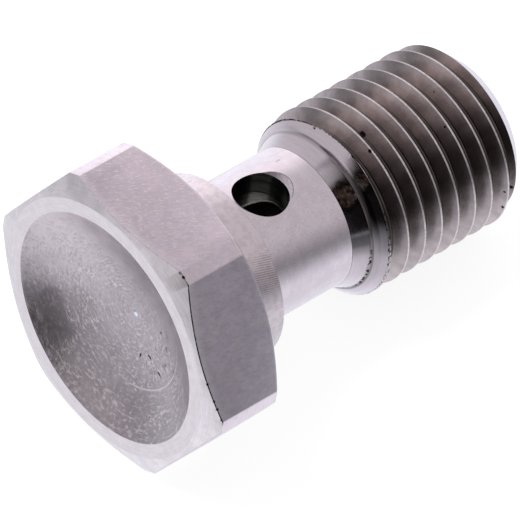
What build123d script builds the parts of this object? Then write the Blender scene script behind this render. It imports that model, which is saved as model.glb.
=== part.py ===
from build123d import *
from math import atan2, cos, degrees, radians, sin, sqrt, tan
import os

# Banjo bolt: a hollow bolt that carries fluid through its shank.
# It is one turned and milled piece of stainless steel.
# Each function works on the bolt's own axis: Z runs from the head's end
# face (Z = 0) to the tip, and the cross hole runs along X.
# lying_down() then sets the finished bolt on one flat of its head and on
# the end of its thread, which is how it comes to rest on a table.

# ---------------------------------------------------------------- sizes, mm
# Hexagon head
HEX_ACROSS_FLATS = 14.0
HEAD_HEIGHT = 4.5
CORNER_TRIM = 0.21          # taken off each sharp corner by turning
FRONT_FACE_SETBACK = 0.25   # from a flat in to the round end face
FRONT_CHAMFER_DEG = 23.0
BACK_FACE_SETBACK = 0.25    # from a flat in to the round seat face
BACK_CHAMFER_DEG = 30.0

# Dished end of the head
DISH_RIM_DIA = 12.0
DISH_DEPTH = 1.9

# Collar that centres the washer under the head
COLLAR_DIA = 9.5
COLLAR_LENGTH = 2.5

# Neck, the slim part that the fluid flows around
NECK_DIA = 7.25
NECK_LENGTH = 5.25
NECK_FILLET = 0.3           # in the corner at the collar

# Thread, 3/8 inch UNF with 24 turns to the inch
THREAD_CREST_DIA = 9.41
THREAD_PITCH = 25.4 / 24
THREAD_DEPTH_IN_PITCHES = 0.6134
SHOULDER_DEG = 30.0         # cone from the neck up to the thread's root
LEAD_IN_DEG = 45.0          # cone from the root up to the crest
FULL_THREAD_LENGTH = 8.0
TIP_CHAMFER = 1.0
TIP_CHAMFER_DEG = 45.0

# Fluid passages
BORE_DIA = 3.5
BORE_PAST_CROSS_HOLE = 0.4  # full bore beyond the cross hole's edge
BORE_DRILL_POINT_DEG = 118.0
BORE_MOUTH_CHAMFER = 0.3
CROSS_HOLE_DIA = 2.8
CROSS_HOLE_FROM_COLLAR = 2.2
CROSS_HOLE_DEBURR = 0.12

# ------------------------------------------------------- lengths that follow
hex_radius = HEX_ACROSS_FLATS / 2
corner_radius = hex_radius / cos(radians(30)) - CORNER_TRIM
front_face_radius = hex_radius - FRONT_FACE_SETBACK
back_face_radius = hex_radius - BACK_FACE_SETBACK
front_chamfer_height = (corner_radius - front_face_radius) * tan(radians(FRONT_CHAMFER_DEG))
back_chamfer_height = (corner_radius - back_face_radius) * tan(radians(BACK_CHAMFER_DEG))

collar_radius = COLLAR_DIA / 2
neck_radius = NECK_DIA / 2
crest_radius = THREAD_CREST_DIA / 2
root_radius = crest_radius - THREAD_DEPTH_IN_PITCHES * THREAD_PITCH

collar_end_z = HEAD_HEIGHT + COLLAR_LENGTH
neck_end_z = collar_end_z + NECK_LENGTH
root_z = neck_end_z + (root_radius - neck_radius) / tan(radians(SHOULDER_DEG))
thread_start_z = root_z + (crest_radius - root_radius) / tan(radians(LEAD_IN_DEG))
thread_end_z = thread_start_z + FULL_THREAD_LENGTH
tip_z = thread_end_z + TIP_CHAMFER
tip_radius = crest_radius - TIP_CHAMFER * tan(radians(TIP_CHAMFER_DEG))

bore_radius = BORE_DIA / 2
cross_hole_radius = CROSS_HOLE_DIA / 2
cross_hole_z = collar_end_z + CROSS_HOLE_FROM_COLLAR
bore_end_z = cross_hole_z - cross_hole_radius - BORE_PAST_CROSS_HOLE
drill_point_height = bore_radius / tan(radians(BORE_DRILL_POINT_DEG / 2))

# The bolt rests where a flat of the head ends and where the thread ends.
flat_end_z = HEAD_HEIGHT - (hex_radius - back_face_radius) * tan(radians(BACK_CHAMFER_DEG))
tilt_deg = degrees(atan2(hex_radius - crest_radius, thread_end_z - flat_end_z))


def turned(points):
    """Solid of revolution about Z of a closed outline of (radius, height) points."""
    outline = Polyline(*[(radius, 0, height) for radius, height in points], close=True)
    return revolve(make_face(outline), Axis.Z)


def hexagon_head():
    """Hexagon with turned-down corners, chamfered at both ends."""
    across_x = RegularPolygon(hex_radius, 6, major_radius=False, rotation=30)
    hexagon = extrude(across_x, HEAD_HEIGHT)
    envelope = turned([
        (0, 0),
        (front_face_radius, 0),
        (corner_radius, front_chamfer_height),
        (corner_radius, HEAD_HEIGHT - back_chamfer_height),
        (back_face_radius, HEAD_HEIGHT),
        (0, HEAD_HEIGHT),
    ])
    return hexagon & envelope


def dish():
    """Ball-shaped hollow in the end of the head."""
    rim_radius = DISH_RIM_DIA / 2
    ball_radius = (rim_radius ** 2 + DISH_DEPTH ** 2) / (2 * DISH_DEPTH)
    return Pos(0, 0, DISH_DEPTH - ball_radius) * Sphere(ball_radius)


def shank():
    """Collar, neck, coned shoulder and the thread's outer cylinder."""
    body = turned([
        (0, HEAD_HEIGHT),
        (collar_radius, HEAD_HEIGHT),
        (collar_radius, collar_end_z),
        (neck_radius, collar_end_z),
        (neck_radius, neck_end_z),
        (root_radius, root_z),
        (crest_radius, thread_start_z),
        (crest_radius, thread_end_z),
        (tip_radius, tip_z),
        (0, tip_z),
    ])
    corner = [
        edge for edge in body.edges().filter_by(GeomType.CIRCLE)
        if abs(edge.radius - neck_radius) < 0.001
        and abs(edge.arc_center.Z - collar_end_z) < 0.001
    ]
    return fillet(corner, NECK_FILLET)


def axial_bore():
    """Blind drilled bore from the tip, with its drill point and chamfered mouth."""
    mouth_radius = bore_radius + BORE_MOUTH_CHAMFER
    return turned([
        (0, bore_end_z - drill_point_height),
        (bore_radius, bore_end_z),
        (bore_radius, tip_z - BORE_MOUTH_CHAMFER),
        (mouth_radius, tip_z),
        (0, tip_z),
    ])


def cross_hole():
    """Drilled hole across the neck, square to the axial bore."""
    drill = Cylinder(cross_hole_radius, 2 * NECK_DIA, rotation=(0, 90, 0))
    return Pos(0, 0, cross_hole_z) * drill


def cross_hole_mouths(body):
    """The two edges where the cross hole breaks out of the neck."""
    found = []
    for edge in body.edges():
        middle = edge @ 0.5
        along = abs(middle.Z - cross_hole_z) <= cross_hole_radius + 0.01
        outside = abs(sqrt(middle.X ** 2 + middle.Y ** 2) - neck_radius) < 0.01
        across = abs(edge.length - 2 * NECK_LENGTH) > 0.01
        if along and outside and edge.geom_type != GeomType.LINE and across:
            found.append(edge)
    return found


def bolt_on_axis():
    """The whole bolt, upright on its own axis."""
    body = hexagon_head() - dish() + shank()
    body = body - axial_bore() - cross_hole()
    return chamfer(cross_hole_mouths(body), CROSS_HOLE_DEBURR)


def lying_down(body):
    """Lay the bolt along +X, tip a little low, with a flat of the head up.

    The origin is the middle of the footprint, on the surface it lies on.
    """
    laid = body.rotate(Axis.Y, 90 + tilt_deg)
    box = laid.bounding_box()
    return Pos(-(box.min.X + box.max.X) / 2, -(box.min.Y + box.max.Y) / 2, -box.min.Z) * laid


def main():
    os.makedirs("parts", exist_ok=True)
    bolt = lying_down(bolt_on_axis())
    bolt = bolt.solids()[0]
    bolt.label = "bolt"
    export_step(bolt, "parts/bolt.step")
    print("tilt", round(tilt_deg, 3), "length", round(tip_z, 3))


main()
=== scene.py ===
from math import asin, atan2, cos, degrees, hypot, pi, radians, sin, sqrt, tan

import bpy
from mathutils import Matrix, Vector


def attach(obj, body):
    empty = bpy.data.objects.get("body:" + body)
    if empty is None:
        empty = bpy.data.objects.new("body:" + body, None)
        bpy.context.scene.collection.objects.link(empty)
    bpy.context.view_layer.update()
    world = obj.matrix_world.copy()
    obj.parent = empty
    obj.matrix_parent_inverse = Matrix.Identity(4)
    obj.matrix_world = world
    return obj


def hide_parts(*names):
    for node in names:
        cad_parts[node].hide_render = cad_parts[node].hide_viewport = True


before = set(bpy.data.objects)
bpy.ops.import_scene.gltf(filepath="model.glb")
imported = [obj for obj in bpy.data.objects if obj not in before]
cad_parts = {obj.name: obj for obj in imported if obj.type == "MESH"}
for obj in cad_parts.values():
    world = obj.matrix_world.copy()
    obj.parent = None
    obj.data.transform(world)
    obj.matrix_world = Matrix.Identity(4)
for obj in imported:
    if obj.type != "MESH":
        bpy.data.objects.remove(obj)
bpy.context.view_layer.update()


# Banjo bolt: hollow hexagon bolt of bare stainless steel. It is turned on its
# own axis in millimetres (Z from the head's end face to the tip, the upper
# flat of the head towards -X), then laid down where the CAD bolt lies.

# ---------------------------------------------------------------- sizes, mm
HEX_RADIUS = 7.0
CORNER_RADIUS = 7.873
FACE_RADIUS = 6.75
HEAD_HEIGHT = 4.5
FRONT_CHAMFER = radians(23)
BACK_CHAMFER = radians(30)
EDGE_BREAK = 0.035
DISH_RIM = 6.0
DISH_DEPTH = 1.9
DISH_HIGHLIGHT_RADIUS = 3.77         # radius of the pale arc painted as a highlight in the dish
DISH_OUTLINE_END = 5.85  # the rim's rounding takes over from here
COLLAR_RADIUS = 4.75
COLLAR_END = 7.0
NECK_RADIUS = 3.625
NECK_END = 12.25
PITCH = 25.4 / 24
CREST_RADIUS = 4.705
ROOT_RADIUS = CREST_RADIUS - 0.6134 * PITCH
LIP_RADIUS = 4.04        # the edge between the shoulder's two cones
LIP_Z = 13.08
SCOOP = 0.4              # length of the hollow that follows the edge
SCOOP_START = radians(66)
SCOOP_END = radians(45)
SCOOP_STEPS = 6
CREST_START = 13.645
CREST_END = CREST_START + 8.0
TIP = CREST_END + 1.0
TIP_RADIUS = CREST_RADIUS - 1.0
BORE_RADIUS = 1.75
BORE_END = 7.4
BORE_MOUTH = 0.3         # chamfer at the bore's mouth
BORE_POINT = BORE_END - BORE_RADIUS / tan(radians(59))
HOLE_RADIUS = 1.385
HOLE_Z = 9.2
HOLE_Y = 0.05
NEAR_MOUTH = 1.53        # countersink on the upper side of the neck
NEAR_MOUTH_SHIFT = 0.12
FAR_MOUTH = 1.6
COUNTERSINK_SLOPE = 0.75  # depth over radius
GROOVE_Z = 14.0836 + PITCH / 2   # a groove's middle on the +X side
FIRST_GROOVE = GROOVE_Z - 2 * PITCH
GROOVE_TURNS = 11
GROOVE_ROOT_ROUND = 0.185
GROOVE_OVERCUT = 0.08    # how far the groove's cutter stands out past the crests
HALF_GROOVE = 0.5        # from the groove's middle to its edge, about
CREST_FLAT = 0.08

# Where the groove starts, at the shoulder. Turns and angles are counted from the
# groove's middle at GROOVE_Z, and are negative towards the shoulder.
FADE_IN_END = radians(-268)      # full depth from this angle on
FADE_IN = radians(135)
FADE_IN_LIFT = 0.8
FIRST_TURN_WIDER = 0.13          # how far the first groove eats into the shoulder
WIDER_END = -0.44                # turns
WIDER_FADE = 0.14                # turns
LATE_WIDER = 0.1                 # most that the next part of the groove is widened by
LATE_START = 0.414               # how far before GROOVE_Z that part starts
LATE_END = 0.1                   # turns
LATE_FADE = 0.2                  # turns

# The first flank's outer edge is as high as EDGE_RISE times the radius at which
# it meets the shoulder, plus EDGE_START.
EDGE_RISE = 1.577
EDGE_START = 6.2236

COLUMNS = 366            # facets round the bolt; no corner falls on a column
GROOVE_STEPS = 183
TOOL_SIDES = 96
DRILL_LENGTH = 12
COUNTERSINK_REACH = 0.8  # how far the countersink's cutter stands out of the neck
ARC_STEPS = 3            # facets in each rounded corner of the turned outline
MERGE_GAP = 1e-4

FLAT_END = HEAD_HEIGHT - (HEX_RADIUS - FACE_RADIUS) * tan(BACK_CHAMFER)
TILT = atan2(HEX_RADIUS - CREST_RADIUS, CREST_END - FLAT_END)
SEAT = Vector((-11.023904, 0, 7.51227))   # where the bolt's own origin comes to lie


# ------------------------------------------------------------ bench helpers
def only(obj):
    bpy.ops.object.select_all(action="DESELECT")
    obj.select_set(True)
    bpy.context.view_layer.objects.active = obj


def edit(mode="EDIT"):
    bpy.ops.object.mode_set(mode=mode)


def gentle(t):
    t = min(1, max(0, t))
    return t * t * (3 - 2 * t)


def drawn_outline(name, points):
    """A line drawn point by point in the XZ plane, from (radius, height) pairs."""
    bpy.ops.object.select_all(action="DESELECT")
    bpy.ops.mesh.primitive_plane_add(size=1)
    obj = bpy.context.object
    obj.name = name
    edit()
    bpy.ops.mesh.select_all(action="SELECT")
    bpy.ops.mesh.merge(type="CENTER")
    radius, height = points[0]
    bpy.ops.transform.translate(value=(radius, 0, height))
    for next_radius, next_height in points[1:]:
        step = (next_radius - radius, 0, next_height - height)
        bpy.ops.mesh.extrude_vertices_move(TRANSFORM_OT_translate={"value": step})
        radius, height = next_radius, next_height
    edit("OBJECT")
    return obj


def rounded(corners):
    """Outline points with each corner (radius, height, rounding) eased by an arc."""
    out = []
    for i, (r, z, ease) in enumerate(corners):
        if ease == 0 or i in (0, len(corners) - 1):
            out.append((r, z))
            continue
        here = Vector((r, z))
        back = (Vector(corners[i - 1][:2]) - here).normalized()
        ahead = (Vector(corners[i + 1][:2]) - here).normalized()
        half = back.angle(ahead) / 2
        middle = here + (back + ahead).normalized() * (ease / sin(half))
        start, end = here + back * (ease / tan(half)), here + ahead * (ease / tan(half))
        a, b = start - middle, end - middle
        sweep = a.angle(b)
        for k in range(ARC_STEPS + 1):
            t = k / ARC_STEPS
            spoke = a * sin((1 - t) * sweep) + b * sin(t * sweep)
            out.append(tuple(middle + spoke / sin(sweep)))
    return out


def cleaned(obj):
    """Doubles merged and normals turned outward."""
    only(obj)
    edit()
    bpy.ops.mesh.select_all(action="SELECT")
    bpy.ops.mesh.remove_doubles(threshold=MERGE_GAP)
    bpy.ops.mesh.normals_make_consistent(inside=False)
    edit("OBJECT")
    return obj


def spun(name, points):
    """An outline turned once round the bolt's axis."""
    obj = drawn_outline(name, points)
    edit()
    bpy.ops.mesh.select_all(action="SELECT")
    bpy.ops.mesh.spin(steps=COLUMNS, angle=2 * pi, center=(0, 0, 0), axis=(0, 0, 1))
    edit("OBJECT")
    return cleaned(obj)


def cut_away(obj, tool):
    """Boolean difference; the tool is used up."""
    only(obj)
    cut = obj.modifiers.new("cut", "BOOLEAN")
    cut.operation = "DIFFERENCE"
    cut.solver = "EXACT"
    cut.object = tool
    bpy.ops.object.modifier_apply(modifier="cut")
    bpy.data.objects.remove(tool)
    return obj


# ------------------------------------------------------------------ the bolt
def dish_outline():
    """Ball-shaped hollow with the centre pip."""
    ball = (DISH_RIM ** 2 + DISH_DEPTH ** 2) / (2 * DISH_DEPTH)

    def floor(r):
        return DISH_DEPTH - ball + sqrt(ball ** 2 - r ** 2)

    points = [(0, DISH_DEPTH - 0.03), (0.03, DISH_DEPTH - 0.028), (0.055, DISH_DEPTH - 0.005)]
    radii = [0.09] + [0.4 * k for k in range(1, 14)] + [5.4, 5.6, 5.75, DISH_OUTLINE_END]
    points += [(r, floor(r)) for r in radii]
    return points


def scoop_outline():
    """The hollow that leads from the lip up into the second cone."""
    points = []
    radius, height = LIP_RADIUS, LIP_Z
    for k in range(SCOOP_STEPS):
        slope = SCOOP_START + (SCOOP_END - SCOOP_START) * (k + 0.5) / SCOOP_STEPS
        radius += SCOOP / SCOOP_STEPS * sin(slope)
        height += SCOOP / SCOOP_STEPS * cos(slope)
        points.append((radius, height, 0))
    return points


def blank_outline():
    """The whole turned blank, from the middle of the dish round to the bore's end."""
    rise = (CORNER_RADIUS - FACE_RADIUS) * tan(FRONT_CHAMFER)
    fall = (CORNER_RADIUS - FACE_RADIUS) * tan(BACK_CHAMFER)
    corners = [(DISH_OUTLINE_END, dish_outline()[-1][1], 0)]
    corners += [
        (DISH_RIM, 0, 0.03),
        (FACE_RADIUS, 0, 0.04),
        (CORNER_RADIUS, rise, 0.05),
        (CORNER_RADIUS, HEAD_HEIGHT - fall, 0.08),
        (FACE_RADIUS, HEAD_HEIGHT, 0.12),
        (COLLAR_RADIUS, HEAD_HEIGHT, 0.05),
        (COLLAR_RADIUS, COLLAR_END, 0.05),
        (NECK_RADIUS, COLLAR_END, 0.3),
        (NECK_RADIUS, NECK_END, 0.1),
        (LIP_RADIUS, LIP_Z, 0.02),
        *scoop_outline(),
        (CREST_RADIUS, CREST_START, 0.03),
        (CREST_RADIUS, CREST_END, 0.03),
        (TIP_RADIUS, TIP, 0.06),
        (BORE_RADIUS + BORE_MOUTH, TIP, 0.04),
        (BORE_RADIUS, TIP - BORE_MOUTH, 0.04),
        (BORE_RADIUS, BORE_END, 0),
        (0, BORE_POINT, 0),
    ]
    return dish_outline()[:-1] + rounded(corners)


def mill_hexagon(blank):
    """Six flats milled on the turned head, each with its edges lightly broken."""
    only(blank)
    edit()
    for k in range(6):
        turn = k * pi / 3
        out = (cos(turn), sin(turn), 0)
        at = (HEX_RADIUS * out[0], HEX_RADIUS * out[1], 0)
        bpy.ops.mesh.select_all(action="SELECT")
        bpy.ops.mesh.bisect(plane_co=at, plane_no=out, use_fill=True, clear_outer=True, threshold=1e-5)
        bpy.ops.mesh.bevel(offset=EDGE_BREAK, segments=2, affect="EDGES", clamp_overlap=False)
    edit("OBJECT")
    return cleaned(blank)


def groove_cutter():
    """The thread's groove as a helical bar, with a rounded root and 60 degree flanks."""
    outer = CREST_RADIUS + GROOVE_OVERCUT
    section = []
    for k in range(7):
        turn = radians(-60 + 20 * k)
        depth = ROOT_RADIUS + GROOVE_ROOT_ROUND - GROOVE_ROOT_ROUND * cos(turn)
        section.append((depth, GROOVE_ROOT_ROUND * sin(turn)))
    flank_r, flank_z = section[-1]
    outer_z = flank_z + (outer - flank_r) * tan(radians(30))
    third_r, third_z = (outer - flank_r) / 3, (outer_z - flank_z) / 3
    section += [(flank_r + third_r * k, flank_z + third_z * k) for k in (1, 2, 3)]
    section = [(r, -z) for r, z in reversed(section[7:])] + section
    section = [(r, z + FIRST_GROOVE) for r, z in section]
    bar = drawn_outline("groove", section + section[:1])
    cleaned(bar)
    winding = bar.modifiers.new("winding", "SCREW")
    winding.axis = "Z"
    winding.angle = 2 * pi
    winding.screw_offset = PITCH
    winding.iterations = GROOVE_TURNS
    winding.steps = winding.render_steps = GROOVE_STEPS
    winding.use_merge_vertices = False
    bpy.ops.object.modifier_apply(modifier="winding")
    cleaned(bar)
    for point in bar.data.vertices:
        x, y, z = point.co
        turn = atan2(y, x) / (2 * pi)
        turn += round((z - GROOVE_Z) / PITCH - turn)
        from_middle = z - GROOVE_Z - PITCH * turn
        if from_middle < 0 and turn < WIDER_END:
            early = min(1, max(0, (WIDER_END - turn) / WIDER_FADE))
            point.co.z += FIRST_TURN_WIDER * early * from_middle / HALF_GROOVE
        elif from_middle < 0 and turn < LATE_END:
            late = min(LATE_WIDER, max(0, PITCH * turn + LATE_START))
            late *= gentle((LATE_END - turn) / LATE_FADE)
            point.co.z += late * from_middle / HALF_GROOVE
        lift = gentle((FADE_IN_END - 2 * pi * turn) / FADE_IN)
        point.co += Vector((x, y, 0)).normalized() * (FADE_IN_LIFT * lift)
    edit()
    bpy.ops.mesh.select_all(action="DESELECT")
    bpy.ops.mesh.select_mode(type="EDGE")
    bpy.ops.mesh.select_non_manifold(extend=False, use_wire=False, use_boundary=True,
                                     use_multi_face=False, use_non_contiguous=False, use_verts=False)
    bpy.ops.mesh.edge_face_add()
    bpy.ops.mesh.select_mode(type="VERT")
    edit("OBJECT")
    return cleaned(bar)


def hole_drill():
    """The cross hole's drill, right through the neck."""
    bpy.ops.object.select_all(action="DESELECT")
    bpy.ops.mesh.primitive_cylinder_add(vertices=TOOL_SIDES, radius=HOLE_RADIUS, depth=DRILL_LENGTH,
                                        location=(0, HOLE_Y, HOLE_Z), rotation=(0, pi / 2, 0))
    drill = bpy.context.object
    bpy.ops.object.transform_apply(location=True, rotation=True, scale=True)
    return drill


def countersink(side, mouth, shift):
    """Cone of a hand deburring tool, as wide as mouth where the neck stands highest."""
    deep = (mouth + COUNTERSINK_REACH / COUNTERSINK_SLOPE) * COUNTERSINK_SLOPE
    middle = (side * (NECK_RADIUS + COUNTERSINK_REACH - deep / 2), HOLE_Y, HOLE_Z + shift)
    bpy.ops.object.select_all(action="DESELECT")
    bpy.ops.mesh.primitive_cone_add(vertices=TOOL_SIDES, radius1=deep / COUNTERSINK_SLOPE, radius2=0,
                                    depth=deep, location=middle, rotation=(0, -side * pi / 2, 0))
    cone = bpy.context.object
    bpy.ops.object.transform_apply(location=True, rotation=True, scale=True)
    return cone


def bolt():
    """Turned, milled, threaded, drilled and deburred, in that order."""
    blank = spun("banjo_bolt", blank_outline())
    mill_hexagon(blank)
    cut_away(blank, groove_cutter())
    cut_away(blank, hole_drill())
    cut_away(blank, countersink(-1, NEAR_MOUTH, NEAR_MOUTH_SHIFT))
    cut_away(blank, countersink(1, FAR_MOUTH, 0))
    return cleaned(blank)


def laid_down(obj):
    """Millimetres to metres, turned and set where the CAD bolt lies."""
    lean = Matrix.Rotation(pi / 2 + TILT, 4, "Y")
    obj.matrix_world = Matrix.Scale(0.001, 4) @ Matrix.Translation(SEAT) @ lean
    only(obj)
    bpy.ops.object.transform_apply(location=True, rotation=True, scale=True)


# ---------------------------------------------------------------- the finishes
class Finish:
    """One finish of the bare steel, worked out in millimetres on the bolt's own axis."""

    def __init__(self, name):
        self.metal = bpy.data.materials.new(name)
        self.metal.use_nodes = True
        self.tree = self.metal.node_tree
        self.shader = self.tree.nodes["Principled BSDF"]
        self.shader.inputs["Metallic"].default_value = 1
        upright = self.add("Mapping")
        self.feed(upright.inputs["Vector"], self.add("TexCoord").outputs["Object"])
        upright.inputs["Scale"].default_value = (1000, 1000, 1000)
        upright.inputs["Rotation"].default_value = (0, -pi / 2 - TILT, 0)
        upright.inputs["Location"].default_value = -(Matrix.Rotation(-pi / 2 - TILT, 3, "Y") @ SEAT)
        self.place = upright.outputs[0]
        split = self.add("SeparateXYZ")
        self.feed(split.inputs[0], self.place)
        self.x, self.y, self.z = split.outputs
        self.radius = self.maths("SQRT", self.maths("ADD", self.maths("MULTIPLY", self.x, self.x),
                                                    self.maths("MULTIPLY", self.y, self.y)))
        # Angle round the axis, 0 at the top of the lying bolt and more towards -Y.
        self.round = self.maths("ARCTAN2", self.maths("MULTIPLY", self.y, -1),
                                self.maths("MULTIPLY", self.x, -1))

    def add(self, kind, **settings):
        node = self.tree.nodes.new("ShaderNode" + kind)
        for name, value in settings.items():
            setattr(node, name, value)
        return node

    def feed(self, socket, value):
        if isinstance(value, bpy.types.NodeSocket):
            self.tree.links.new(value, socket)
        else:
            socket.default_value = value

    def maths(self, operation, *values):
        node = self.add("Math", operation=operation)
        for socket, value in zip(node.inputs, values):
            self.feed(socket, value)
        return node.outputs[0]

    def sum(self, *values):
        total = values[0]
        for value in values[1:]:
            total = self.maths("ADD", total, value)
        return total

    def times(self, *values):
        total = values[0]
        for value in values[1:]:
            total = self.maths("MULTIPLY", total, value)
        return total

    def ease(self, value, low, high, bottom=0, top=1):
        """Smooth step of value from low to high, given as bottom to top."""
        node = self.add("MapRange", interpolation_type="SMOOTHSTEP")
        for socket, amount in zip(node.inputs, (value, low, high, bottom, top)):
            self.feed(socket, amount)
        return node.outputs[0]

    def near(self, value, middle, core, fade):
        """1 within core of middle, fading to 0 over fade."""
        gap = self.maths("ABSOLUTE", self.maths("SUBTRACT", value, middle))
        return self.ease(gap, core, core + fade, 1, 0)

    def along(self, way):
        """Distance along a direction."""
        node = self.add("VectorMath", operation="DOT_PRODUCT")
        self.feed(node.inputs[0], self.place)
        node.inputs[1].default_value = way
        return node.outputs["Value"]

    def spot(self, centre, size, fade=0.6):
        """1 in a small patch round a place, with a soft and slightly ragged edge."""
        shifted = self.add("Mapping", vector_type="TEXTURE")
        self.feed(shifted.inputs["Vector"], self.place)
        shifted.inputs["Location"].default_value = centre
        shifted.inputs["Scale"].default_value = size if isinstance(size, tuple) else (size, size, size)
        reach = self.add("VectorMath", operation="LENGTH")
        self.feed(reach.inputs[0], shifted.outputs[0])
        ragged = self.sum(reach.outputs["Value"], self.times(self.cloud(9), 0.5), -0.25)
        return self.ease(ragged, 1 - fade / 2, 1 + fade / 2, 1, 0)

    def cloud(self, grain, detail=2.0, stretch=(1, 1, 1), turn=0, shift=0):
        """Noise with about grain lumps a millimetre; stretch draws it out where it is small."""
        lay = self.add("Mapping")
        self.feed(lay.inputs["Vector"], self.place)
        lay.inputs["Rotation"].default_value = (turn, 0, 0)
        lay.inputs["Location"].default_value = (shift, shift, shift)
        drawn = self.add("Mapping")
        self.feed(drawn.inputs["Vector"], lay.outputs[0])
        drawn.inputs["Scale"].default_value = tuple(grain * part for part in stretch)
        noise = self.add("TexNoise")
        self.feed(noise.inputs["Vector"], drawn.outputs[0])
        noise.inputs["Scale"].default_value = 1
        noise.inputs["Detail"].default_value = detail
        return noise.outputs[0]

    def turning_lines(self, grain, round_the_axis=0.06, detail=2.0, slope=0.7):
        """Noise drawn out round the bolt's axis, as a lathe tool leaves it."""
        lay = self.add("CombineXYZ")
        self.feed(lay.inputs[0], self.times(self.x, grain * round_the_axis))
        self.feed(lay.inputs[1], self.times(self.y, grain * round_the_axis))
        self.feed(lay.inputs[2], self.times(self.sum(self.z, self.times(self.radius, slope)), grain))
        noise = self.add("TexNoise")
        self.feed(noise.inputs["Vector"], lay.outputs[0])
        noise.inputs["Scale"].default_value = 1
        noise.inputs["Detail"].default_value = detail
        return noise.outputs[0]

    def polar_noise(self, round_the_axis, outwards):
        """Noise with so many lumps a radian round the axis and a millimetre outwards."""
        lay = self.add("CombineXYZ")
        self.feed(lay.inputs[0], self.times(self.round, round_the_axis))
        self.feed(lay.inputs[1], self.times(self.radius, outwards))
        noise = self.add("TexNoise")
        self.feed(noise.inputs["Vector"], lay.outputs[0])
        noise.inputs["Scale"].default_value = 1
        noise.inputs["Detail"].default_value = 1
        return noise.outputs[0]

    def blend(self, amount, first, second):
        node = self.add("Mix", data_type="RGBA")
        self.feed(node.inputs[0], amount)
        self.feed(node.inputs[6], first if isinstance(first, bpy.types.NodeSocket) else (*first, 1))
        self.feed(node.inputs[7], second if isinstance(second, bpy.types.NodeSocket) else (*second, 1))
        return node.outputs[2]

    def shaded(self, colour, amount):
        """A colour made lighter or darker by a number that varies about 1."""
        node = self.add("VectorMath", operation="SCALE")
        self.feed(node.inputs[0], colour)
        self.feed(node.inputs["Scale"], amount)
        return node.outputs[0]

    def marked(self, colour, marks):
        """Black marks at the places and sizes of a list."""
        for centre, size in marks:
            colour = self.blend(self.spot(centre, size), colour, BLACK_DIRT)
        return colour

    def finished(self, colour, roughness, height=None, depth=0.0):
        """depth is how deep the relief of height 0 to 1 is, in millimetres."""
        self.feed(self.shader.inputs["Base Color"], colour)
        self.feed(self.shader.inputs["Roughness"], roughness)
        if height is not None:
            relief = self.add("Bump")
            relief.inputs["Distance"].default_value = depth / 1000
            self.feed(relief.inputs["Height"], height)
            self.feed(self.shader.inputs["Normal"], relief.outputs[0])
        return self.metal


PALE_STEEL = (0.84, 0.78, 0.82)
GREY_STEEL = (0.50, 0.47, 0.49)
DULL_STEEL = (0.34, 0.31, 0.31)
BLACK_DIRT = (0.02, 0.015, 0.015)
BROWN_STAIN = (0.058, 0.038, 0.032)


def milled_flat(name, scuffing, first, second, painted_light_side=1.0):
    """Milled face with soft patches, short scuffs across the bolt and paler rims; the last argument paints
    light onto the -Y side.
    """
    f = Finish(name)
    colour = f.blend(f.ease(f.cloud(1.5, 2), 0.38, 0.62), first, second)
    lilac = f.ease(f.cloud(1.1, 2, shift=7), 0.5, 0.68, 0, 0.6)
    colour = f.blend(lilac, colour, tuple(part * shade for part, shade in zip(first, (0.98, 1.01, 1.07))))
    streaks = f.cloud(7, 2, (1, 1, 0.25), turn=radians(-24))
    colour = f.shaded(colour, f.ease(streaks, 0.3, 0.7, 0.965, 1.035))
    # painted light: the -Y side is made paler by the last argument
    colour = f.shaded(colour, f.ease(f.y, -3.6, 1.6, painted_light_side, 1))
    light = f.ease(f.cloud(11, 1, (1, 1, 0.36), turn=radians(-38), shift=3), 0.58, 0.68, 0, scuffing)
    dark = f.ease(f.cloud(11, 1, (1, 1, 0.45), turn=radians(-30), shift=9), 0.60, 0.70, 0, scuffing)
    colour = f.blend(f.times(light, 0.55), colour, PALE_STEEL)
    colour = f.blend(f.times(dark, 0.55), colour, GREY_STEEL)
    front_gap = f.sum(f.z, f.times(f.sum(f.radius, -FACE_RADIUS), -tan(FRONT_CHAMFER)))
    back_rise = f.times(f.sum(f.radius, -FACE_RADIUS), -tan(BACK_CHAMFER))
    back_gap = f.sum(f.times(f.z, -1), back_rise, HEAD_HEIGHT)
    rim = f.sum(f.ease(front_gap, 0.05, 0.5, 0.35, 0), f.ease(back_gap, 0.03, 0.15, 0.5, 0))
    colour = f.blend(rim, colour, PALE_STEEL)
    colour = f.marked(colour, HEAD_NICKS)
    return f.finished(colour, f.ease(streaks, 0.2, 0.8, 0.26, 0.32), f.sum(light, f.times(dark, -1)), 0.0015)


# Black nicks and burr crumbs at the head's edges: (place, size)
HEAD_NICKS = [
    ((-6.86, -3.91, 0.43), 0.11),
    ((-6.94, -3.69, 0.44), (0.08, 0.12, 0.025)),
    ((-2.25, -6.78, 0.17), 0.07),
    ((-1.42, -7.27, 0.29), 0.07),
    ((-1.03, -7.49, 0.36), 0.08),
    ((-0.50, -7.79, 0.43), 0.07),
]


def turned_corner():
    """The narrow turned bands left on the hexagon's corners."""
    f = Finish("turned_corner")
    lines = f.turning_lines(13)
    stain = f.ease(f.cloud(2.4, 3, shift=4), 0.52, 0.72, 0, 0.45)
    colour = f.blend(stain, (0.80, 0.725, 0.78), (0.60, 0.51, 0.53))
    colour = f.shaded(colour, f.ease(lines, 0.25, 0.75, 0.95, 1.04))
    return f.finished(colour, 0.28, lines, 0.002)


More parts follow.
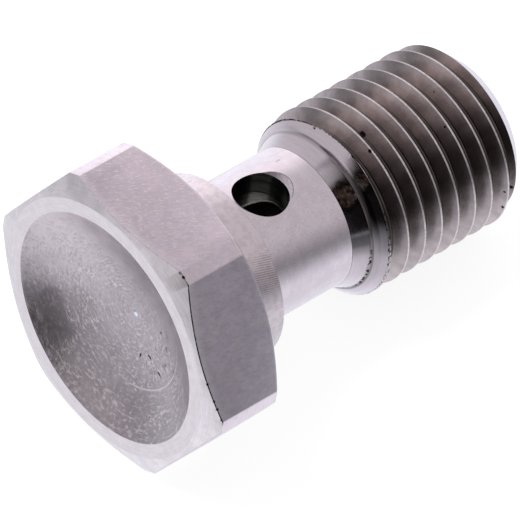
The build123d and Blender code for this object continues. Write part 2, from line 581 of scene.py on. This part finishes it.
def turned_chamfer():
    """The chamfers at both ends of the hexagon, smooth and a little grey, with painted light towards two
    sides.
    """
    f = Finish("turned_chamfer")
    lines = f.turning_lines(16)
    colour = f.blend(f.ease(f.cloud(1.5, 2), 0.35, 0.65), (0.63, 0.59, 0.605), (0.70, 0.655, 0.68))
    colour = f.shaded(colour, f.ease(lines, 0.25, 0.75, 0.95, 1.05))
    # painted light: paler towards two sides of the head
    colour = f.shaded(colour, f.ease(f.along((0.521, -0.854, 0)), 0, 7, 1, 1.18))
    colour = f.shaded(colour, f.ease(f.along((-0.625, -0.782, 0)), 1, 6.4, 1, 1.25))
    colour = f.marked(colour, HEAD_NICKS)
    return f.finished(colour, 0.27, lines, 0.002)


def faced_end():
    """The flat ring round the dish."""
    f = Finish("faced_end")
    lines = f.turning_lines(18)
    colour = f.blend(f.ease(f.cloud(2, 2), 0.35, 0.65), (0.70, 0.655, 0.675), (0.74, 0.69, 0.71))
    colour = f.shaded(colour, f.ease(lines, 0.25, 0.75, 0.96, 1.04))
    smear = f.spot((-2.51, -5.62, 0), 0.12)
    colour = f.blend(f.times(smear, 0.4), colour, GREY_STEEL)
    return f.finished(colour, 0.24, lines, 0.0015)


def faced_seat():
    """The seat under the head and the chamfer round it, turned, and painted dark as shade under the head."""
    f = Finish("faced_seat")
    lines = f.turning_lines(10)
    # painted shade: much darker than the other turned faces
    colour = f.blend(f.ease(lines, 0.25, 0.75), (0.22, 0.205, 0.21), (0.30, 0.28, 0.29))
    return f.finished(colour, 0.34, lines, 0.004)


def formed_dish():
    """The dish: dull, with swirling pale flecks, fine scores below its middle and one smooth side; painted
    light and shade across it, a painted dark band, a painted pale arc and a painted glint on the pip.
    """
    f = Finish("formed_dish")
    aside = f.along((-0.854, -0.521, 0))
    upward = f.along((-0.521, 0.854, 0))
    mottle = f.cloud(1.3, 3, shift=5)
    colour = f.blend(f.ease(mottle, 0.3, 0.7), (0.435, 0.39, 0.415), (0.52, 0.47, 0.495))
    # painted light and shade: paler towards the dish's upper side, darker towards +X
    colour = f.shaded(colour, f.ease(f.along((-0.365, 0.931, 0)), 0.8, 5, 1, 1.5))
    colour = f.shaded(colour, f.ease(f.x, 0.8, 3.2, 1, 0.86))
    for centre, size in DULL_PATCHES:
        colour = f.blend(f.times(f.spot(centre, size, 1.4), 0.5), colour, (0.30, 0.265, 0.275))
    # painted shade: a dark band across the dish's wall
    shade = f.near(f.sum(f.round, f.times(mottle, 0.3)), -2.09, 0.2, 0.14)
    shade = f.times(shade, f.ease(f.radius, 4.0, 4.6), f.ease(f.radius, 5.2, 5.7, 0.6, 0.2))
    colour = f.blend(shade, colour, (0.19, 0.17, 0.175))
    smooth = f.ease(f.sum(aside, f.times(upward, 0.18), f.times(mottle, 1.4)), 2.3, 3.1)
    patchy = f.ease(f.cloud(1.1, 2, shift=12), 0.35, 0.6, 0.45, 1)
    worked = f.times(f.maths("SUBTRACT", 1, f.times(smooth, 0.65)), patchy, f.ease(shade, 0, 0.6, 1, 0.35))
    swirl = f.turning_lines(8, 0.5, slope=1.3)
    crinkle = f.cloud(9, 2)
    arcs = f.polar_noise(6, 9)
    light = f.maths("MAXIMUM", f.ease(swirl, 0.55, 0.66), f.ease(crinkle, 0.60, 0.70))
    light = f.maths("MAXIMUM", light, f.ease(arcs, 0.60, 0.68))
    dark = f.maths("MAXIMUM", f.ease(swirl, 0.36, 0.44, 1, 0), f.ease(crinkle, 0.34, 0.42, 1, 0))
    colour = f.blend(f.times(light, worked, 0.66), colour, (0.78, 0.72, 0.74))
    colour = f.blend(f.times(dark, worked, 0.3), colour, (0.26, 0.23, 0.24))
    rays = f.polar_noise(26, 3.2)
    scored = f.times(f.near(upward, -2.4, 0.6, 1.0), f.near(aside, 0.5, 1.1, 1.1))
    scored = f.times(scored, f.ease(f.cloud(2.2, 2, shift=8), 0.36, 0.56, 0.2, 1))
    scores = f.times(f.ease(rays, 0.57, 0.66), scored)
    scrapes = f.times(f.ease(rays, 0.34, 0.43, 1, 0), scored)
    colour = f.blend(f.times(scores, 0.7), colour, (0.15, 0.125, 0.13))
    colour = f.blend(f.times(scrapes, 0.5), colour, (0.76, 0.70, 0.72))
    # painted highlight: a pale arc on one side of the dish's floor
    painted_ring_highlight = f.times(f.near(f.radius, DISH_HIGHLIGHT_RADIUS, 0.015, 0.035), f.ease(f.along((0.4, -0.917, 0)), 1.8, 3.0))
    colour = f.blend(f.times(painted_ring_highlight, 0.55), colour, PALE_STEEL)
    # painted highlight: a white glint on the centre pip with a bluish halo
    colour = f.blend(f.times(f.spot((0.13, -0.09, DISH_DEPTH), 0.3, 1.4), 0.45), colour, (0.58, 0.56, 0.70))
    colour = f.blend(f.spot((0.13, -0.09, DISH_DEPTH), 0.12), colour, (1, 0.98, 1))
    colour = f.marked(colour, DISH_SCORES)
    rough = f.ease(mottle, 0.3, 0.7, 0.30, 0.38)
    return f.finished(colour, rough, f.times(f.sum(light, f.times(dark, -1)), worked), 0.003)


# Dull grey patches near the rim of the dish: (place, size)
DULL_PATCHES = [
    ((2.4, 4.3, 0.6), (1.3, 1.3, 1)),
    ((1.6, 2.9, 1.3), (0.7, 0.7, 1)),
    ((4.1, -2.3, 0.8), (0.9, 1.0, 1)),
]

# Short black scores on the floor of the dish: (place, size)
DISH_SCORES = [
    ((1.58, -1.62, 1.65), (0.05, 0.16, 0.1)),
    ((1.73, -2.58, 1.42), (0.05, 0.14, 0.1)),
    ((1.99, -1.03, 1.66), (0.13, 0.05, 0.1)),
    ((-0.46, -2.02, 1.69), (0.07, 0.07, 0.1)),
]


CHATTER_STEP = 0.112     # from one chatter mark on the collar to the next, mm


def collar_steel():
    """The collar, with a patch of chatter marks like a ladder, and painted shade on its side towards -Y."""
    f = Finish("collar_steel")
    lines = f.turning_lines(15)
    colour = f.blend(f.ease(f.cloud(3, 3), 0.4, 0.65), (0.72, 0.645, 0.685), (0.64, 0.565, 0.59))
    colour = f.shaded(colour, f.ease(lines, 0.25, 0.75, 0.97, 1.03))
    # painted shade: darker on the side towards -Y
    colour = f.shaded(colour, f.ease(f.round, 1.0, 1.6, 1, 0.82))
    slant = f.sum(f.times(f.maths("ARCTAN2", f.y, f.x), COLLAR_RADIUS), f.times(f.z, -0.27))
    rungs = f.ease(f.maths("SINE", f.times(slant, 2 * pi / CHATTER_STEP)), -0.5, 0.7)
    patch = f.near(f.along((-0.644, -0.765, 0)), COLLAR_RADIUS, 0.035, 0.11)
    patch = f.times(patch, f.ease(f.cloud(2.5, 2, shift=3), 0.36, 0.56, 0.35, 1))
    colour = f.blend(f.times(patch, rungs, 0.75), colour, (0.36, 0.31, 0.31))
    specks = f.times(f.ease(f.cloud(11, 1), 0.62, 0.70), f.near(f.z, COLLAR_END, 0.05, 0.2))
    colour = f.blend(specks, colour, PALE_STEEL)
    return f.finished(colour, 0.24, f.sum(lines, f.times(patch, rungs)), 0.003)


def neck_steel():
    """The neck, turned smooth, with fine specks."""
    f = Finish("neck_steel")
    lines = f.turning_lines(9)
    specks = f.cloud(13, 2)
    colour = f.blend(f.ease(f.cloud(1.8, 2), 0.35, 0.65), (0.65, 0.59, 0.635), (0.70, 0.635, 0.68))
    colour = f.shaded(colour, f.ease(lines, 0.25, 0.75, 0.98, 1.02))
    colour = f.blend(f.ease(specks, 0.64, 0.72, 0, 0.5), colour, (0.92, 0.87, 0.90))
    colour = f.blend(f.ease(specks, 0.28, 0.36, 0.4, 0), colour, GREY_STEEL)
    flecked = f.near(f.round, 0.62, 0.25, 0.4)
    flecks = f.times(f.ease(f.cloud(10, 2, shift=4), 0.53, 0.66, 0, 0.5), flecked)
    colour = f.blend(flecks, colour, (0.58, 0.47, 0.47))
    colour = f.blend(f.times(f.spot((-3.40, 1.24, 11.32), (0.1, 0.05, 0.16)), 0.6), colour, DULL_STEEL)
    depth = f.sum(f.maths("ABSOLUTE", f.x), -NECK_RADIUS)
    mouth = f.sum(f.times(depth, 1 / COUNTERSINK_SLOPE), NEAR_MOUTH)
    from_hole = f.maths("SQRT", f.sum(f.maths("POWER", f.sum(f.y, -HOLE_Y), 2),
                                      f.maths("POWER", f.sum(f.z, -HOLE_Z - NEAR_MOUTH_SHIFT), 2)))
    rim = f.times(f.near(from_hole, mouth, 0.035, 0.02), f.ease(mouth, HOLE_RADIUS - 0.05, HOLE_RADIUS))
    colour = f.blend(f.times(rim, f.ease(f.x, -2, -1.9, 0.8, 0)), colour, (0.20, 0.18, 0.19))
    return f.finished(colour, 0.2, f.sum(f.times(lines, 0.4), f.times(specks, 0.6)), 0.0015)


def shoulder_steel():
    """Both cones of the shoulder: bright, with brown stain and crumbs of burr on the edges; with a painted
    shadow, a painted dark band and painted light on the cones, and painted shade in the hollow, the crease
    and along the lip.
    """
    f = Finish("shoulder_steel")
    lines = f.turning_lines(17)
    colour = f.blend(f.ease(lines, 0.25, 0.75), (0.59, 0.535, 0.58), (0.655, 0.595, 0.64))
    crumbs = f.cloud(9, 2, shift=2)
    beads = f.cloud(5, 1, shift=6)
    inner = f.ease(f.radius, LIP_RADIUS - 0.02, LIP_RADIUS + 0.02, 1, 0)
    # painted shadow: a soft grey patch on the first cone
    painted_shadow = f.times(f.near(f.round, 0.36, 0.08, 0.14), inner)
    colour = f.blend(f.times(painted_shadow, 0.55), colour, (0.29, 0.28, 0.275))
    # painted shade: a dark band on the first cone, and painted light beyond it
    painted_dark_band = f.times(f.near(f.round, 1.20, 0.05, 0.10), inner)
    colour = f.shaded(colour, f.ease(painted_dark_band, 0, 1, 1, 0.66))
    colour = f.shaded(colour, f.ease(f.round, 1.36, 1.46, 1, 1.1))
    stained = f.maths("MAXIMUM", f.spot((-3.17, -2.12, 12.65), (0.50, 0.60, 0.5), 1.8),
                      f.times(f.spot((-3.84, -2.36, 13.5), (0.46, 0.5, 0.36), 1.8), 0.8))
    stained = f.times(stained, f.ease(f.cloud(3, 2, shift=13), 0.32, 0.6, 0.5, 1))
    colour = f.blend(f.ease(stained, 0.02, 0.42), colour, BROWN_STAIN)
    specks = f.times(f.ease(f.cloud(7, 2, shift=11), 0.50, 0.72), stained)
    colour = f.blend(specks, colour, (0.18, 0.12, 0.105))
    f.feed(f.shader.inputs["Metallic"], f.ease(stained, 0.25, 0.95, 1, 0.42))
    turn = f.times(f.sum(f.round, pi), 0.5 / pi)
    edge_start = (GROOVE_Z - 1.5 * PITCH + CREST_FLAT / 2 - EDGE_START) / EDGE_RISE
    edge = f.sum(f.times(turn, PITCH / EDGE_RISE), edge_start)
    wider = f.ease(turn, 0.30, 0.56, FIRST_TURN_WIDER / EDGE_RISE, 0)
    edge = f.maths("MINIMUM", f.sum(edge, f.times(wider, -1)), CREST_RADIUS)
    from_edge = f.maths("SUBTRACT", edge, f.radius)
    above = f.ease(f.along((-0.413, 0.911, 0)), 2.6, 3.4)
    burr = f.times(above, f.ease(crumbs, 0.36, 0.42), f.ease(from_edge, 0.04, 0.075, 1, 0))
    beside = f.times(f.ease(crumbs, 0.50, 0.56), f.ease(from_edge, 0.025, 0.055, 1, 0))
    colour = f.blend(f.maths("MAXIMUM", burr, beside), colour, BLACK_DIRT)
    below = f.ease(f.along((0.4446, -0.8957, 0)), 3.0, 3.5)
    lip = f.near(f.radius, LIP_RADIUS, 0.03, 0.03)
    # painted shade: the hollow after the lip is darkened on the front
    painted_hollow_shade = f.near(f.radius, LIP_RADIUS + 0.19, 0.17, 0.06)
    front = f.times(f.ease(f.round, 0.25, 0.6, 0, 0.95), f.ease(f.round, 1.0, 1.3, 1, 0.1))
    colour = f.blend(f.times(painted_hollow_shade, front), colour, (0.15, 0.138, 0.132))
    # painted shade: a dark line in the crease just past the lip
    painted_crease_shade = f.times(f.near(f.radius, LIP_RADIUS + 0.075, 0.035, 0.035), f.ease(f.round, -0.6, -0.3, 0, 0.7))
    colour = f.blend(painted_crease_shade, colour, (0.17, 0.165, 0.16))
    # painted shade: a dull line along the lip
    colour = f.blend(f.times(lip, 0.55), colour, DULL_STEEL)
    colour = f.blend(f.times(lip, below, f.ease(beads, 0.50, 0.56)), colour, BLACK_DIRT)
    colour = f.marked(colour, SHOULDER_CRUMBS)
    return f.finished(colour, f.ease(crumbs, 0.3, 0.7, 0.11, 0.16), lines, 0.001)


# Black crumbs of burr on the lip and where the thread starts: (place, size)
SHOULDER_CRUMBS = [
    ((-0.76, -3.97, 13.08), (0.05, 0.05, 0.04)),
    ((-0.06, -4.04, 13.08), (0.09, 0.06, 0.05)),
    ((0.64, -3.99, 13.08), (0.12, 0.07, 0.06)),
    ((0.95, -3.93, 13.08), (0.06, 0.06, 0.05)),
    ((1.32, -3.82, 13.08), (0.07, 0.06, 0.05)),
    ((1.72, -3.66, 13.08), (0.15, 0.08, 0.07)),
    ((-4.30, 1.21, 13.48), (0.08, 0.12, 0.06)),
    ((-0.99, -4.58, 13.66), (0.14, 0.12, 0.08)),
    ((-0.10, -4.68, 13.68), (0.10, 0.12, 0.08)),
]


def thread_flank(name, low, high, shade):
    """One side of the thread's groove: brownish and blotchy; shade paints light and shade onto it round the
    bolt.
    """
    f = Finish(name)
    blotch = f.cloud(1.6, 2)
    grain = f.cloud(9, 3)
    colour = f.blend(f.ease(f.radius, ROOT_RADIUS, CREST_RADIUS), low, high)
    colour = f.shaded(colour, shade(f))
    colour = f.shaded(colour, f.ease(blotch, 0.3, 0.7, 0.88, 1.12))
    colour = f.shaded(colour, f.ease(grain, 0.25, 0.75, 0.93, 1.07))
    colour = f.marked(colour, THREAD_NICKS)
    return f.finished(colour, f.ease(grain, 0.3, 0.7, 0.28, 0.36), grain, 0.003)


def near_flank_light_and_shade(f):
    """Painted shade on the front of the bolt and just behind its top, and painted light at the back and
    below.
    """
    front = f.ease(f.near(f.round, 0.90, 0.1, 0.28), 0, 1, 1, 0.45)
    back = f.times(f.ease(f.round, -0.60, -0.06, 0.48, 0.9), f.ease(f.round, -0.95, -0.55, 1.85, 1))
    return f.times(back, front, f.ease(f.round, 1.1, 1.4, 1, 1.22))


def far_flank_light_and_shade(f):
    """Painted light behind the bolt and along its top, where the groove's root stays dark."""
    top = f.times(f.near(f.round, 0.0, 0.22, 0.42), f.ease(f.radius, ROOT_RADIUS + 0.08, ROOT_RADIUS + 0.16))
    return f.times(f.ease(top, 0, 1, 1, 2.7), f.ease(f.round, -0.5, 0.1, 2.2, 1))


# Dark nicks in the thread: (place, size)
THREAD_NICKS = [
    ((-4.07, -0.20, 15.28), (0.16, 0.18, 0.17)),
    ((-4.44, -1.42, 14.60), (0.12, 0.10, 0.06)),
    ((-4.44, -0.27, 19.67), (0.12, 0.05, 0.035)),
    ((-4.10, -2.08, 18.82), (0.08, 0.06, 0.04)),
    ((-0.37, -4.55, 21.09), (0.06, 0.1, 0.05)),
    ((0.73, -4.56, 21.17), (0.1, 0.1, 0.05)),
    ((0.16, -4.18, 21.95), (0.12, 0.12, 0.09)),
]


def thread_crest():
    """The narrow rubbed crest of the thread, with painted shade behind the top and on the front."""
    f = Finish("thread_crest")
    wear = f.cloud(6, 3)
    colour = f.blend(f.ease(wear, 0.3, 0.6), (0.56, 0.50, 0.505), (0.72, 0.66, 0.665))
    # painted shade: much darker behind the top and a little darker on the front
    colour = f.shaded(colour, f.ease(f.round, -1.0, 0.2, 0.22, 1))
    colour = f.shaded(colour, f.ease(f.near(f.round, 0.86, 0.1, 0.3), 0, 1, 1, 0.75))
    # The first turn's crest is only a dull line with crumbs of burr on it.
    upright = f.sum(f.z, f.times(f.sum(f.round, pi), -0.5 * PITCH / pi), 1.5 * PITCH - GROOVE_Z)
    first = f.ease(upright, 0.3, 0.4, 1, 0)
    dull = f.times(first, f.ease(f.round, 0.4, 0.6), f.ease(f.round, 1.05, 1.5, 1, 0.35))
    colour = f.blend(f.times(dull, 0.9), colour, (0.075, 0.068, 0.066))
    burr = f.times(first, f.ease(f.round, 0.4, 0.6), f.ease(f.cloud(6, 1, shift=2), 0.56, 0.62))
    colour = f.blend(f.times(burr, 0.8), colour, BLACK_DIRT)
    colour = f.marked(colour, THREAD_NICKS)
    return f.finished(colour, 0.3, wear, 0.003)


def tip_steel():
    """The chamfer and the flat ring at the tip."""
    f = Finish("tip_steel")
    lines = f.turning_lines(13, slope=-0.6)
    colour = f.blend(f.ease(lines, 0.25, 0.75), (0.67, 0.645, 0.695), (0.76, 0.73, 0.785))
    return f.finished(colour, 0.26, lines, 0.002)


def drilled_wall():
    """The walls of the bore and of the cross hole: dull, with drill rings, painted shade and light in the
    cross hole and a painted highlight near the bore's mouth.
    """
    f = Finish("drilled_wall")
    rings = f.cloud(7, 2, (1, 0.12, 0.12))
    colour = f.blend(f.ease(rings, 0.3, 0.7), (0.24, 0.235, 0.22), (0.42, 0.41, 0.39))
    # painted light and shade: darker round the cross hole except at one angle, darker still near its upper
    # mouth, paler elsewhere
    turn = f.maths("ARCTAN2", f.sum(f.z, -HOLE_Z), f.sum(f.y, -HOLE_Y))
    colour = f.shaded(colour, f.ease(f.near(turn, radians(45), radians(12), radians(14)), 0, 1, 0.3, 1))
    colour = f.shaded(colour, f.ease(f.x, -2.2, -2.0, 0.75, 1.9))
    step = f.maths("MAXIMUM", f.near(f.x, -2.14, 0.03, 0.05), f.near(f.x, -2.9, 0.03, 0.05))
    colour = f.blend(f.times(step, 0.6), colour, BLACK_DIRT)
    # painted highlight: a near-white line near the bore's mouth
    colour = f.blend(f.near(f.radius, BORE_RADIUS + 0.06, 0.03, 0.025), colour, (0.92, 0.91, 0.88))
    return f.finished(colour, 0.33, rings, 0.006)


def deburred_edge():
    """The countersunk edge of the cross hole, with chatter round it."""
    f = Finish("deburred_edge")
    chatter = f.cloud(9, 2)
    colour = f.blend(f.ease(chatter, 0.35, 0.65), (0.62, 0.57, 0.61), (0.76, 0.71, 0.745))
    return f.finished(colour, 0.4, chatter, 0.003)


def rubbed_edge():
    """The broken edges of the flats, rubbed a little brighter than the faces."""
    f = Finish("rubbed_edge")
    wear = f.cloud(5, 3)
    colour = f.blend(f.ease(wear, 0.35, 0.6), (0.60, 0.55, 0.58), (0.76, 0.70, 0.74))
    colour = f.marked(colour, HEAD_NICKS)
    return f.finished(colour, 0.3, wear, 0.003)


def torn_edge():
    """The front edge of one flat, where a black burr was left standing."""
    f = Finish("torn_edge")
    crumbs = f.cloud(4, 3, shift=1)
    colour = f.blend(f.ease(crumbs, 0.56, 0.64), BLACK_DIRT, (0.30, 0.28, 0.30))
    return f.finished(colour, 0.5, crumbs, 0.01)


FINISHES = {
    "scuffed flat": milled_flat("scuffed_flat", 0.9, (0.57, 0.50, 0.545), (0.615, 0.53, 0.58), 1.12),
    "worn corner": milled_flat("worn_corner", 0.6, (0.655, 0.575, 0.62), (0.705, 0.61, 0.66)),
    "smooth flat": milled_flat("smooth_flat", 0.25, (0.56, 0.505, 0.57), (0.61, 0.555, 0.62)),
    "corner": turned_corner(),
    "chamfer": turned_chamfer(),
    "face": faced_end(),
    "seat": faced_seat(),
    "dish": formed_dish(),
    "collar": collar_steel(),
    "neck": neck_steel(),
    "shoulder": shoulder_steel(),
    "flank": thread_flank("thread_flank", (0.51, 0.445, 0.44), (0.52, 0.46, 0.465), near_flank_light_and_shade),
    "far flank": thread_flank("thread_far_flank", (0.10, 0.085, 0.08), (0.15, 0.13, 0.125), far_flank_light_and_shade),
    "crest": thread_crest(),
    "tip": tip_steel(),
    "drilled": drilled_wall(),
    "deburred": deburred_edge(),
    "edge": rubbed_edge(),
    "torn edge": torn_edge(),
}


def head_zone(place, facing, radius):
    """Which finish a face of the head gets."""
    turn = round(atan2(place.y, place.x) / (pi / 3)) * pi / 3
    out = Vector((cos(turn), sin(turn), 0))
    lower_side = abs(degrees(turn) % 360 - 240) < 1
    if radius < DISH_RIM and 0.015 < place.z < DISH_DEPTH + 0.01 and facing.z < 0:
        return "dish"
    if facing.dot(out) > 0.9985:
        return "smooth flat" if lower_side else "scuffed flat"
    if facing.dot(out) > 0.45 and place.dot(out) > HEX_RADIUS - 0.06:
        if abs(place.z - (radius - FACE_RADIUS) * tan(FRONT_CHAMFER)) < 0.06:
            return "torn edge" if lower_side else "edge"
        if radius < CORNER_RADIUS - 0.05 or place.z > 3.9:
            return "edge"
    if facing.z > 0.4:
        return "seat"
    if facing.z < -0.97:
        return "face"
    if abs(facing.z) > 0.3:
        return "chamfer"
    upper_side = abs(degrees(atan2(place.y, place.x)) + 150) < 12
    return "worn corner" if upper_side else "corner"


def shoulder_radius(z):
    """How wide the shoulder is at a height."""
    if z < LIP_Z:
        return NECK_RADIUS + (z - NECK_END) * (LIP_RADIUS - NECK_RADIUS) / (LIP_Z - NECK_END)
    top_radius, top_z, _ = scoop_outline()[-1]
    if z < top_z:
        return LIP_RADIUS + (z - LIP_Z) * (top_radius - LIP_RADIUS) / (top_z - LIP_Z)
    return CREST_RADIUS - (CREST_START - z)


def shank_zone(place, facing, radius):
    """Which finish a face of the shank gets."""
    outwards = (facing.x * place.x + facing.y * place.y) / max(radius, 1e-6)
    from_hole = hypot(place.y - HOLE_Y, place.z - HOLE_Z)
    if radius < TIP_RADIUS and place.z < TIP - 0.1 and (radius < BORE_RADIUS + 0.01 or outwards < -0.3):
        return "drilled"
    if place.z < COLLAR_END + 0.5:
        return "collar" if radius > NECK_RADIUS + 0.12 else "neck"
    if from_hole < HOLE_RADIUS + 0.01 and outwards < 0.9:
        return "drilled"
    if from_hole < FAR_MOUTH + 0.05 and outwards < 0.95:
        return "deburred"
    if place.z < NECK_END:
        return "neck"
    if place.z > CREST_END - 0.02 and facing.z > 0.6:
        return "tip"
    if radius > CREST_RADIUS - 0.012 and outwards > 0.98:
        return "crest"
    if place.z < CREST_START and facing.z < -0.4 and radius > shoulder_radius(place.z) - 0.04:
        return "shoulder"
    in_root = radius < ROOT_RADIUS + 0.06
    return "far flank" if facing.z > 0.3 or in_root else "flank"


def give_finishes(obj):
    """Each face gets the finish of the place it lies in."""
    obj.data.materials.clear()
    order = list(FINISHES)
    for name in order:
        obj.data.materials.append(FINISHES[name])
    for face in obj.data.polygons:
        place, facing = face.center, face.normal
        radius = hypot(place.x, place.y)
        in_head = place.z < 2 or place.z < HEAD_HEIGHT + 0.01 and radius > BORE_RADIUS + 0.1
        zone = head_zone if in_head else shank_zone
        face.material_index = order.index(zone(place, facing, radius))


bolt_piece = bolt()
give_finishes(bolt_piece)
laid_down(bolt_piece)
only(bolt_piece)
bpy.ops.object.shade_smooth_by_angle(angle=radians(18))

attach(bolt_piece, "root")
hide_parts("bolt")


# -------------------------------------------------------------- the studio
bpy.ops.object.select_all(action="DESELECT")
bpy.ops.mesh.primitive_circle_add(vertices=96, radius=0.4, fill_type="NGON")
floor = bpy.context.object
floor.name = "floor"
floor.visible_glossy = False     # the steel mirrors the light tent in its place


def white_where_seen(tree, plain, white):
    """Camera, glossy and transmission rays get the white, and other rays the plain shader."""
    path = tree.nodes.new("ShaderNodeLightPath")
    either = tree.nodes.new("ShaderNodeMath")
    either.operation = "MAXIMUM"
    any_of = tree.nodes.new("ShaderNodeMath")
    any_of.operation = "MAXIMUM"
    tree.links.new(path.outputs["Is Camera Ray"], either.inputs[0])
    tree.links.new(path.outputs["Is Glossy Ray"], either.inputs[1])
    tree.links.new(either.outputs[0], any_of.inputs[0])
    tree.links.new(path.outputs["Is Transmission Ray"], any_of.inputs[1])
    mix = tree.nodes.new("ShaderNodeMixShader")
    tree.links.new(any_of.outputs[0], mix.inputs["Fac"])
    tree.links.new(plain, mix.inputs[1])
    tree.links.new(white, mix.inputs[2])
    return mix.outputs[0]


FLOOR_GREY = 0.3         # takes the bolt's shadow
FLOOR_GLOW = 0.865       # lifts the lit floor to white
ROOM_LIGHT = 0.55

paper = bpy.data.materials.new("white_paper")
paper.use_nodes = True
tree = paper.node_tree
tree.nodes.clear()
matt = tree.nodes.new("ShaderNodeBsdfDiffuse")
matt.inputs["Color"].default_value = (FLOOR_GREY, FLOOR_GREY, FLOOR_GREY, 1)
glow = tree.nodes.new("ShaderNodeEmission")
glow.inputs["Strength"].default_value = FLOOR_GLOW
both = tree.nodes.new("ShaderNodeAddShader")
tree.links.new(matt.outputs[0], both.inputs[0])
tree.links.new(glow.outputs[0], both.inputs[1])
end = tree.nodes.new("ShaderNodeOutputMaterial")
tree.links.new(white_where_seen(tree, matt.outputs[0], both.outputs[0]), end.inputs["Surface"])
floor.data.materials.append(paper)

world = bpy.data.worlds.new("studio")
bpy.context.scene.world = world
world.use_nodes = True
tree = world.node_tree
tree.nodes.clear()
room = tree.nodes.new("ShaderNodeBackground")
room.inputs["Color"].default_value = (1, 1, 1, 1)
room.inputs["Strength"].default_value = ROOM_LIGHT
white = tree.nodes.new("ShaderNodeBackground")
white.inputs["Color"].default_value = (1, 1, 1, 1)
white.inputs["Strength"].default_value = 1
end = tree.nodes.new("ShaderNodeOutputWorld")
tree.links.new(white_where_seen(tree, room.outputs[0], white.outputs[0]), end.inputs["Surface"])


def soft_lamp(name, place, width, power):
    """Round lamp aimed at the bolt, which the steel doesn't mirror."""
    lamp = bpy.data.lights.new(name, "AREA")
    lamp.shape = "DISK"
    lamp.size = width
    lamp.energy = power
    obj = bpy.data.objects.new(name, lamp)
    bpy.context.scene.collection.objects.link(obj)
    obj.location = place
    obj.rotation_euler = (-Vector(place)).to_track_quat("-Z", "Y").to_euler()
    obj.visible_glossy = False


soft_lamp("key_lamp", (-0.15, 0.25, 0.5), 0.3, 2.2)


# What the steel mirrors: a light tent with darker cards. Each card is (side,
# height, half width, half height, soft sides, soft ends, strength), in degrees
# as seen from the bolt; side 0 is towards -Y and side 90 towards +X.
TENT_RADIUS = 0.25
TENT_MIDDLE = Vector((0, 0, 0.007))
TENT_GLOW = 1.0
CARDS = [
    (0, 40, 400, 56, 40, 40, 0.68),      # ceiling
    (145, 0, 20, 35, 40, 30, 1.3),       # window behind
    (-140, -5, 16, 4, 20, 18, 0.5),      # shelf behind on the left
    (-45, -52, 22, 16, 20, 40, 0.72),    # floor in the shade of the bench
    (20, -3, 60, 12, 16, 44, 0.23),      # dark wall to the right
    (-38, -6, 42, 24, 12, 64, 0.19),     # dim table edge on the camera's side
    (-82, 4, 11, 9, 11, 24, 0.03),       # dark wall to the left
    (-41, 34.5, 37, 37.5, 24, 16, 0.006),    # black hood round the camera
    (-16, -1, 9, 1, 6, 3, 0.6),          # lit edge of the bench
]
UPPER_TINT = (1.02, 0.98, 1.01)
LOWER_TINT = (0.975, 0.985, 1.045)


def tent_colour(way):
    """How bright the tent is in one direction, after every card has covered its part."""
    side = degrees(atan2(way.x, -way.y))
    height = degrees(asin(max(-1, min(1, way.z))))
    strength = TENT_GLOW
    for card_side, card_height, half_width, half_height, soft_sides, soft_ends, level in CARDS:
        across = abs((side - card_side + 180) % 360 - 180) * cos(radians(height)) - half_width
        up = abs(height - card_height) - half_height
        strength += (level - strength) * gentle(0.5 - across / soft_sides) * gentle(0.5 - up / soft_ends)
    upper = gentle(0.5 + height / 20)
    return [strength * (low + (high - low) * upper) for low, high in zip(LOWER_TINT, UPPER_TINT)]


bpy.ops.object.select_all(action="DESELECT")
bpy.ops.mesh.primitive_uv_sphere_add(segments=144, ring_count=90, radius=TENT_RADIUS, location=TENT_MIDDLE)
tent = bpy.context.object
tent.name = "light_tent"
bpy.ops.object.transform_apply(location=True, rotation=True, scale=True)
glow_colour = tent.data.attributes.new("glow", "FLOAT_COLOR", "POINT")
for i, point in enumerate(tent.data.vertices):
    glow_colour.data[i].color = (*tent_colour((point.co - TENT_MIDDLE).normalized()), 1)
for kind in ("camera", "diffuse", "transmission", "volume_scatter", "shadow"):
    setattr(tent, "visible_" + kind, False)
cloth = bpy.data.materials.new("tent_cloth")
cloth.use_nodes = True
tree = cloth.node_tree
tree.nodes.clear()
level = tree.nodes.new("ShaderNodeAttribute")
level.attribute_name = "glow"
glow = tree.nodes.new("ShaderNodeEmission")
tree.links.new(level.outputs["Color"], glow.inputs["Color"])
end = tree.nodes.new("ShaderNodeOutputMaterial")
tree.links.new(glow.outputs[0], end.inputs["Surface"])
tent.data.materials.append(cloth)

camera = bpy.data.objects.new("camera", bpy.data.cameras.new("camera"))
bpy.context.scene.collection.objects.link(camera)
camera.data.lens = 830.77
camera.data.clip_start = 0.05
camera.location = (-0.232431, -0.253037, 0.453659)
camera.rotation_euler = (radians(37.3308), radians(-1.3008), radians(-40.6948))
bpy.context.scene.camera = camera
bpy.context.scene.view_settings.view_transform = "Standard"
